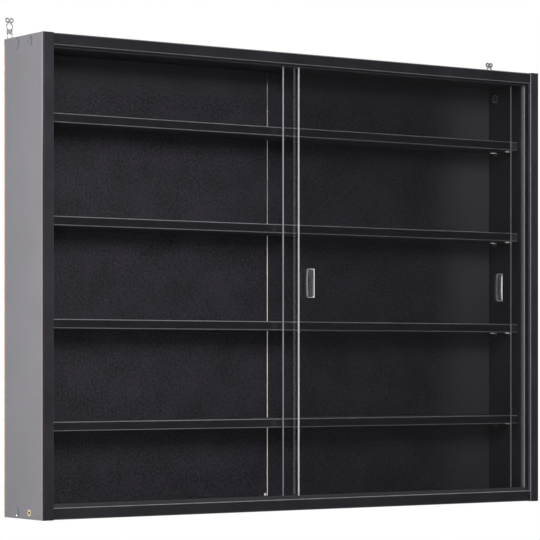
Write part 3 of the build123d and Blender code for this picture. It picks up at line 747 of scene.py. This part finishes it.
def grow(name, tree, sizes, places, slot, *replaced):
    """Plain mesh made by a hardware tree at places, each a point and its turn, riding on the cabinet."""
    sharp_from = math.radians(32)
    points = bpy.data.meshes.new(name + "_places")
    points.from_pydata([tuple(point) for point, turn in places], [], [])
    turns = points.attributes.new("turn", "FLOAT_VECTOR", "POINT")
    turns.data.foreach_set("vector", [part for point, turn in places for part in turn])
    holder = bpy.data.objects.new(name + "_places", points)
    bpy.context.scene.collection.objects.link(holder)
    modifier = holder.modifiers.new("hardware", "NODES")
    modifier.node_group = tree
    for item in tree.interface.items_tree:
        if item.in_out == "INPUT" and item.name in sizes:
            modifier[item.identifier] = sizes[item.name]
    depsgraph = bpy.context.evaluated_depsgraph_get()
    mesh = bpy.data.meshes.new_from_object(holder.evaluated_get(depsgraph), depsgraph=depsgraph)
    holder.modifiers.remove(modifier)
    bpy.data.objects.remove(holder)
    mesh.shade_smooth()
    mesh.set_sharp_from_angle(angle=sharp_from)
    piece = bpy.data.objects.new(name, mesh)
    bpy.context.scene.collection.objects.link(piece)
    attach(piece, "cabinet")
    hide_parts(*replaced)


# How far hand-set pieces differ, in radians: a nail leans off square, and all turn about their length
LEAN = 0.02
TWIST = 3.0


def set_nails():
    """Nails through the back's rim, driven in a little askew."""
    boxes = separate_boxes("back_nails")
    low, high = boxes[0]
    sizes = {
        "Shank radius": 0.7 * MM,
        "Length": back_high.y - low.y,
        "Head radius": (high.x - low.x) / 2,
        "Head height": high.y - back_high.y,
    }
    material = plated_steel("steel_bright", "7C7B79", "9C9B99", 0.3, 0.45, 1.5)
    tree = hardware_tree("nails", nail_shape, sizes, material, (LEAN, LEAN, TWIST), seed=4)
    middles = [middle_of(box) for box in boxes]
    places = [(Vector((middle.x, back_high.y, middle.z)), (-QUARTER, 0, 0)) for middle in middles]
    grow("rim_nails", tree, sizes, places, "bright_steel", "back_nails")


def seats(node, side):
    """A point and a turn for each piece of a node that sits on a side panel's outer face."""
    middles = [middle_of(box) for box in separate_boxes(node)]
    turn = (0, side * QUARTER, 0)
    return [(Vector((side * X_OUTER, middle.y, middle.z)), turn) for middle in middles]


def set_screws():
    """Connector screws through the side panels into the ends of the top and bottom boards."""
    low, high = separate_boxes("carcass_screws_right")[0]
    sizes = {
        "Head radius": (high.z - low.z) / 2,
        "Head height": 2.6 * MM,
        "Socket radius": 2.3 * MM,
        "Socket depth": 2.4 * MM,
        "Neck radius": 3.5 * MM,
        "Neck depth": 9.4 * MM,
        "Core radius": 2.4 * MM,
        "Length": high.x - low.x,
        "Pitch": 3.0 * MM,
        "Thread depth": 0.9 * MM,
    }
    material = plated_steel("zinc_yellow", "6C6049", "9B9278", 0.45, 0.62, 2.0)
    tree = hardware_tree("screws", screw_shape, sizes, material, (0.0, 0.0, TWIST), seed=7)
    for word, side in SIDES.items():
        node = f"carcass_screws_{word}"
        grow(f"connector_screws_{word}", tree, sizes, seats(node, side), "yellow_zinc", node)


def set_caps():
    low, high = separate_boxes("cover_caps_right")[0]
    sizes = {"Radius": (high.z - low.z) / 2, "Thickness": high.x - low.x}
    tree = hardware_tree("caps", cap_shape, sizes, cap_film(), (0.0, 0.0, TWIST), seed=2)
    for word, side in SIDES.items():
        node = f"cover_caps_{word}"
        grow(f"film_caps_{word}", tree, sizes, seats(node, side), "cap_film", node)


def shelf_names():
    return sorted(name for name in nodes if name.startswith("shelf_") and name[-1].isdigit())


def set_supports():
    """Four angle supports under each shelf, pegged into the side panels."""
    shelves = shelf_names()
    low, high = max(separate_boxes(f"{shelves[0]}_supports"), key=lambda box: box[0].x)
    sizes = {
        "Tab length": X_INNER - low.x,
        "Width": high.y - low.y,
        "Plate": 1.2 * MM,
        "Corner": 3.9 * MM,
        "Upright": high.z - low.z,
        "Peg radius": 2.4 * MM,
        "Peg length": high.x - X_INNER,
    }
    material = plated_steel("nickel_plate", "D9D7D0", "F6F5F1", 0.12, 0.24, 2, sheared=0.42)
    tree = hardware_tree("supports", support_shape, sizes, material, (0.0, 0.0, 0.0), seed=3)
    for shelf in shelves:
        places = []
        for box in separate_boxes(f"{shelf}_supports"):
            middle = middle_of(box)
            side = 1 if middle.x > 0 else -1
            turn = 0 if side > 0 else HALF
            places.append((Vector((side * X_INNER, middle.y, box[1].z)), (0, 0, turn)))
        grow(f"{shelf}_angle_supports", tree, sizes, places, "support_nickel", f"{shelf}_supports")


def set_finishes():
    for side in SIDES:
        low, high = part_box(f"side_panel_{side}")
        dress(faced_board(f"melamine_board_{side}", "X", low.x, high.x, True), f"side_panel_{side}")
    for level in ("top", "bottom"):
        low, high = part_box(f"{level}_panel")
        dress(faced_board(f"melamine_board_{level}", "Z", low.z, high.z, False), f"{level}_panel")
    for name in shelf_names():
        low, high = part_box(name)
        dress(faced_board(f"melamine_{name}", "Z", low.z, high.z, False), name)
    # The uprights' edging is drawn lighter than the level pieces', a painted sheen for the light that
    # catches it.
    edgings = {
        "left": ("2A292E", "343238", "X", (0.0, 0.14), 0.12, ("2A1C14", -0.4, FLUSH)),
        "right": ("25242A", "2D2C32", "X", (0.9, 0.1), 0.5, ("232227", FLUSH, FLUSH)),
        "top": ("1A191D", "222126", "Z", (0.7, 0.3), 0.5, ("1C1B1F", FLUSH, FLUSH)),
        "bottom": ("18171B", "201F24", "Z", (0.2, 0.8), 0.5, ("18171B", FLUSH, FLUSH)),
        "shelf": ("131216", "1A191D", "Z", (0.8, 0.7), 0.5, ("131216", FLUSH, FLUSH), "313036"),
    }
    shelf_bands = [f"{name}_edge_band" for name in shelf_names()]
    for band, look in edgings.items():
        bands = shelf_bands if band == "shelf" else [f"edge_band_{band}"]
        dress(edging_plastic(f"abs_edging_{band}", *look), *bands)
    dress(lacquered_hardboard("hardboard_black_front"), "back_panel_left", "back_panel_right")
    dress(channel_plastic(), "top_track", "bottom_track")
    front_pane, rear_pane = "door_glass_left", "door_glass_right"
    dress(float_glass("float_glass_front", front_pane, "E6E8E9", "FFFFFF", "929397", 0.06), front_pane)
    dress(float_glass("float_glass_rear", rear_pane, "C4C4CC", "7C8E8C", "8A8D90", 0.0), rear_pane)
    pulls = {"left": (1.0 * MM, 0.0, 0.38), "right": (2.2 * MM, 0.8, 0.2)}
    for side in SIDES:
        acrylic = moulded_acrylic(f"acrylic_clear_{side}", f"finger_pull_{side}", *pulls[side])
        dress(acrylic, f"finger_pull_{side}")
        dress(coated_nut(f"plastic_coated_nut_{side}", f"hanger_nut_{side}"), f"hanger_nut_{side}")
    zinc = plated_steel("zinc_bright", "A2A4A5", "D0D1D0", 0.38, 0.5, 2.5)
    dress(zinc, "hanger_plate_left", "hanger_plate_right", "hanger_bolt_left", "hanger_bolt_right")


def set_camera():
    lens = bpy.data.cameras.new("viewpoint")
    lens.lens = FOCAL_LENGTH
    lens.sensor_width = SENSOR_WIDTH
    lens.shift_y = PICTURE_SHIFT_UP
    lens.clip_start = NEAREST_SEEN
    lens.clip_end = FARTHEST_SEEN
    camera = bpy.data.objects.new("viewpoint", lens)
    camera.location = CAMERA_PLACE
    camera.rotation_euler = (QUARTER, 0, CAMERA_TURN)
    bpy.context.scene.collection.objects.link(camera)
    bpy.context.scene.camera = camera


def softbox(name, place, aim, width, height, power):
    """Rectangular soft light at a place, turned towards an aim, not seen by the camera."""
    lamp = bpy.data.lights.new(name, "AREA")
    lamp.shape = "RECTANGLE"
    lamp.size = width
    lamp.size_y = height
    lamp.energy = power
    light = bpy.data.objects.new(name, lamp)
    light.location = place
    light.rotation_euler = (Vector(aim) - Vector(place)).to_track_quat("-Z", "Y").to_euler()
    light.visible_camera = False
    bpy.context.scene.collection.objects.link(light)
    return light


def set_lights():
    softbox("key_front", (-0.75, -2.45, 1.25), (0, 0, 0.3), 1.0, 0.85, 45)
    softbox("fill_left_front", (-2.1, -2.7, 0.55), (0, 0, 0.4), 1.6, 1.6, 39)
    side_lamp = softbox("side_left", (-0.86, 0.34, 0.42), (-0.4, 0.34, 0.42), 0.5, 1.2, 15.4)
    side_lamp.data.color = hex_colour("FCFAFF")[:3]
    softbox("overhead_right", (1.1, -0.66, 1.75), (0, 0, 0.3), 1.6, 1.2, 15)


def floor_paint(shown, bounced):
    """Floor paint with one tone where it is seen, also through glass, and one as a reflector."""
    material, tree = blank_material("floor_paint")
    light_path = add(tree, "ShaderNodeLightPath")
    rays = [light_path.outputs["Is Camera Ray"], light_path.outputs["Is Transmission Ray"]]
    seen = add(tree, MATH, rays, operation="MAXIMUM")
    tone = add(tree, MIX, {0: seen, 6: hex_colour(bounced), 7: hex_colour(shown)}, data_type="RGBA")
    surface(tree, Base_Color=tone, Roughness=0.9)
    return material


def set_stage():
    """Round floor a little below the cabinet."""
    floor_z, reach, corners = -0.3, 1.8, 48
    angles = [i * math.tau / corners for i in range(corners)]
    rim = [(reach * math.cos(angle), reach * math.sin(angle), floor_z) for angle in angles]
    mesh = bpy.data.meshes.new("floor")
    mesh.from_pydata(rim, [], [tuple(range(corners))])
    mesh.materials.append(floor_paint("EAEAEA", "B0B0B0"))
    card = bpy.data.objects.new("floor", mesh)
    bpy.context.scene.collection.objects.link(card)


def set_world():
    """White to the camera; for light and reflections, white behind the cabinet and dark before it."""
    world = bpy.data.worlds.new("studio")
    world.use_nodes = True
    tree = world.node_tree
    tree.nodes.clear()
    way = add(tree, COORDINATES).outputs["Generated"]
    apart = add(tree, SPLIT, {0: way})
    behind = add(tree, RANGE, [apart.outputs["Y"], -0.1, 0.4, 0.03, 1.0])
    above = add(tree, RANGE, [apart.outputs["Z"], 0.35, 0.8, 0.0, 0.7])
    level = add(tree, MATH, [behind, above], operation="MAXIMUM")
    seen = add(tree, "ShaderNodeLightPath").outputs["Is Camera Ray"]
    strength = add(tree, MATH, [level, seen], operation="MAXIMUM")
    white = add(tree, "ShaderNodeBackground", {"Color": hex_colour("FFFFFF"), "Strength": strength})
    add(tree, "ShaderNodeOutputWorld", {"Surface": white})
    bpy.context.scene.world = world


set_finishes()
set_nails()
set_screws()
set_caps()
set_supports()
set_camera()
set_lights()
set_stage()
set_world()
bpy.context.scene.view_settings.view_transform = "Standard"
